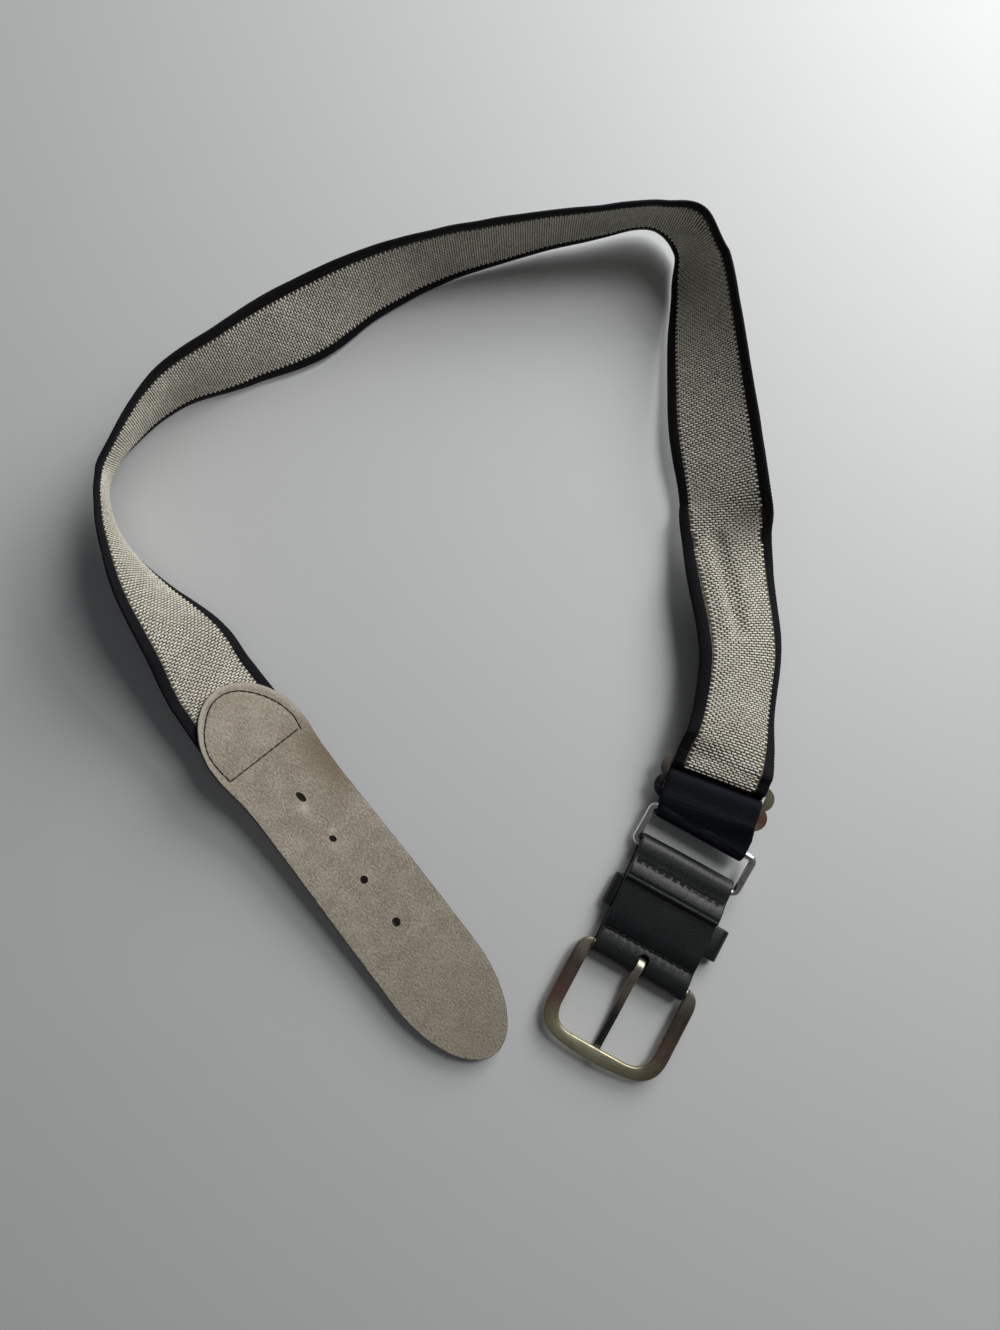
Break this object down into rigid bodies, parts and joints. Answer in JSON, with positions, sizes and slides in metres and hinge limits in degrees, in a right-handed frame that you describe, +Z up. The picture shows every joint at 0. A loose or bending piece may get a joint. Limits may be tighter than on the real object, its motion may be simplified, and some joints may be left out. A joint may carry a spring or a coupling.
{
  "type": "elastic belt",
  "caption": "Elastic waist belt lying open, inner side up: stretch web, holed leather tab, slide, wire ring and a leather strap with a keeper and a frame buckle.",
  "frame": {"origin": "on the table, under the middle of the belt's box", "axes": "+Z up from the table, +Y from the buckle and tab towards the far bend of the web, +X towards the side with the buckle"},
  "size_m": [0.2673, 0.3358, 0.0423],
  "materials": {
    "web": "cream knitted inner face with black woven edges and black outer face",
    "suede": "undyed suede flesh side, dark edge",
    "leather": "smooth black, half gloss",
    "plated": "worn dull nickel plating",
    "chrome": "bright nickel plating"
  },
  "bodies": {
    "belt": {"elastic_web": "web", "leather_tab": "suede", "slide_adjuster": "plated", "wire_ring": "chrome", "buckle_strap": "leather", "keeper_loop": "leather"},
    "buckle": {"buckle_frame": "plated"},
    "tongue": {"prong": "plated"}
  },
  "joints": [
    {"name": "buckle_swing", "type": "hinge", "parent": "belt", "child": "buckle", "pos_m": [0.0765, -0.126, 0.0042], "axis": [-0.878, 0.4787, 0], "range_deg": [-30, 100]},
    {"name": "prong_swing", "type": "hinge", "parent": "buckle", "child": "tongue", "pos_m": [0.0765, -0.126, 0.0042], "axis": [0.878, -0.4787, 0], "range_deg": [0, 90]}
  ]
}
